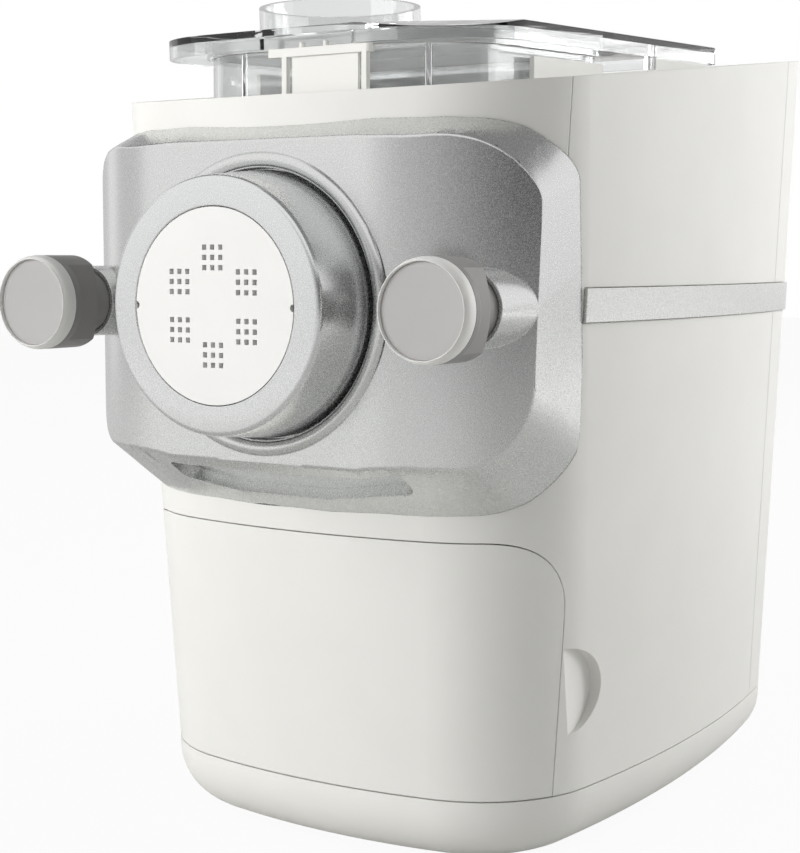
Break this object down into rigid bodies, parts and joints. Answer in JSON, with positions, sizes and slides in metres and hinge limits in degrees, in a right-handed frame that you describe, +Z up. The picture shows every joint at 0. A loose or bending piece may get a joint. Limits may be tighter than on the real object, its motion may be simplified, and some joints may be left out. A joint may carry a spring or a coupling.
{
  "type": "electric pasta maker",
  "caption": "Upright electric pasta maker with a removable extruder front held by knobs, a clear mixing chamber and lid with a filling funnel, and a front storage drawer.",
  "frame": {"origin": "on the table, below the middle of the machine's overall width and depth", "axes": "+Z up, -Y towards the extruder front, +X to the right seen from the front"},
  "size_m": [0.236, 0.328, 0.3471],
  "materials": {
    "white_plastic": "satin moulded plastic",
    "inner_white": "moulded plastic",
    "silver_lacquer": "metallic silver lacquer",
    "silver_ring": "satin silver lacquer",
    "knob_grey": "fine matt plastic",
    "disc_white": "matt moulded plastic",
    "clear_plastic": "clear moulded plastic",
    "grey_plastic": "moulded plastic",
    "gear_plastic": "moulded gear plastic",
    "black_window": "gloss display window",
    "rubber": "soft moulded rubber",
    "silicone": "soft silicone",
    "steel": "turned steel",
    "motor_metal": "drawn sheet, zinc plated",
    "board": "circuit board",
    "socket_black": "moulded plastic"
  },
  "bodies": {
    "base": {"housing_shell": "white_plastic", "front_strip": "white_plastic", "rear_cover": "white_plastic", "base_tray": "white_plastic", "rubber_feet": "rubber", "base_screws": "steel", "cover_screws": "steel", "side_band": "white_plastic", "top_deck": "white_plastic", "control_fascia": "grey_plastic", "display_window": "black_window", "control_board": "board", "inner_frame": "inner_white", "drawer_tunnel": "inner_white", "chamber_saddles": "inner_white", "gearbox_cover": "inner_white", "idler_pin": "steel", "motor_can": "motor_metal", "main_board": "board", "mains_inlet": "socket_black", "lid_switch": "socket_black", "mixing_chamber": "clear_plastic", "shaft_seal": "silicone", "fixing_studs": "steel"},
    "front": {"front_panel": "silver_lacquer", "extruder_tube": "inner_white", "tube_seal": "silicone", "shaping_disc": "disc_white"},
    "ring": {"disc_ring": "silver_ring"},
    "knob_left": {"knob_body_left": "knob_grey", "knob_trim_left": "white_plastic", "knob_cap_left": "knob_grey"},
    "knob_right": {"knob_body_right": "knob_grey", "knob_trim_right": "white_plastic", "knob_cap_right": "knob_grey"},
    "drawer": {"drawer_front": "white_plastic", "drawer_box": "inner_white", "ribbon_disc": "disc_white", "lasagne_disc": "disc_white"},
    "lid": {"lid": "clear_plastic", "lid_seal": "silicone"},
    "latch": {"lid_latch": "white_plastic"},
    "power": {"power_button": "grey_plastic"},
    "program": {"program_button": "grey_plastic"},
    "portion": {"portion_button": "grey_plastic"},
    "start": {"start_button": "grey_plastic"},
    "drive": {"drive_gear": "gear_plastic", "drive_shaft": "steel", "mixing_paddle": "inner_white", "extruding_screw": "inner_white"},
    "idler": {"idler_gear": "gear_plastic"},
    "rotor": {"motor_rotor": "steel"}
  },
  "joints": [
    {"name": "front_off", "type": "slide", "parent": "base", "child": "front", "axis": [0, -1, 0], "range_m": [0, 0.12]},
    {"name": "ring_turn", "type": "hinge", "parent": "front", "child": "ring", "pos_m": [0, -0.147, 0.222], "axis": [0, 1, 0], "range_deg": [0, 45]},
    {"name": "knob_left_turn", "type": "hinge", "parent": "front", "child": "knob_left", "pos_m": [-0.0889, -0.151, 0.222], "axis": [0, 1, 0], "range_deg": [0, 720]},
    {"name": "knob_right_turn", "type": "hinge", "parent": "front", "child": "knob_right", "pos_m": [0.0889, -0.151, 0.222], "axis": [0, 1, 0], "range_deg": [0, 720]},
    {"name": "drawer_slide", "type": "slide", "parent": "base", "child": "drawer", "axis": [0, -1, 0], "range_m": [0, 0.16]},
    {"name": "lid_lift", "type": "slide", "parent": "base", "child": "lid", "axis": [0, 0, 1], "range_m": [0, 0.12]},
    {"name": "latch_tilt", "type": "hinge", "parent": "base", "child": "latch", "pos_m": [0.0146, -0.1118, 0.292], "axis": [1, 0, 0], "range_deg": [0, 5]},
    {"name": "power_press", "type": "slide", "parent": "base", "child": "power", "axis": [0, 0.1191, -0.9929], "range_m": [0, 0.0012], "stiffness_N_per_m": 400},
    {"name": "program_press", "type": "slide", "parent": "base", "child": "program", "axis": [0, 0.1191, -0.9929], "range_m": [0, 0.0012], "stiffness_N_per_m": 400},
    {"name": "portion_press", "type": "slide", "parent": "base", "child": "portion", "axis": [0, 0.1191, -0.9929], "range_m": [0, 0.0012], "stiffness_N_per_m": 400},
    {"name": "start_press", "type": "slide", "parent": "base", "child": "start", "axis": [0, 0.1191, -0.9929], "range_m": [0, 0.0012], "stiffness_N_per_m": 400},
    {"name": "drive_spin", "type": "hinge", "parent": "base", "child": "drive", "pos_m": [0, -0.043, 0.222], "axis": [0, 1, 0], "continuous": true},
    {"name": "idler_spin", "type": "hinge", "parent": "base", "child": "idler", "pos_m": [0.02309, 0.038, 0.15857], "axis": [0, 1, 0], "continuous": true},
    {"name": "rotor_spin", "type": "hinge", "parent": "base", "child": "rotor", "pos_m": [-0.00614, 0.077, 0.1417], "axis": [0, 1, 0], "continuous": true}
  ],
  "couplings": [
    {"joint": "idler_spin", "follows": "drive_spin", "ratio": -2},
    {"joint": "rotor_spin", "follows": "drive_spin", "ratio": 4}
  ]
}
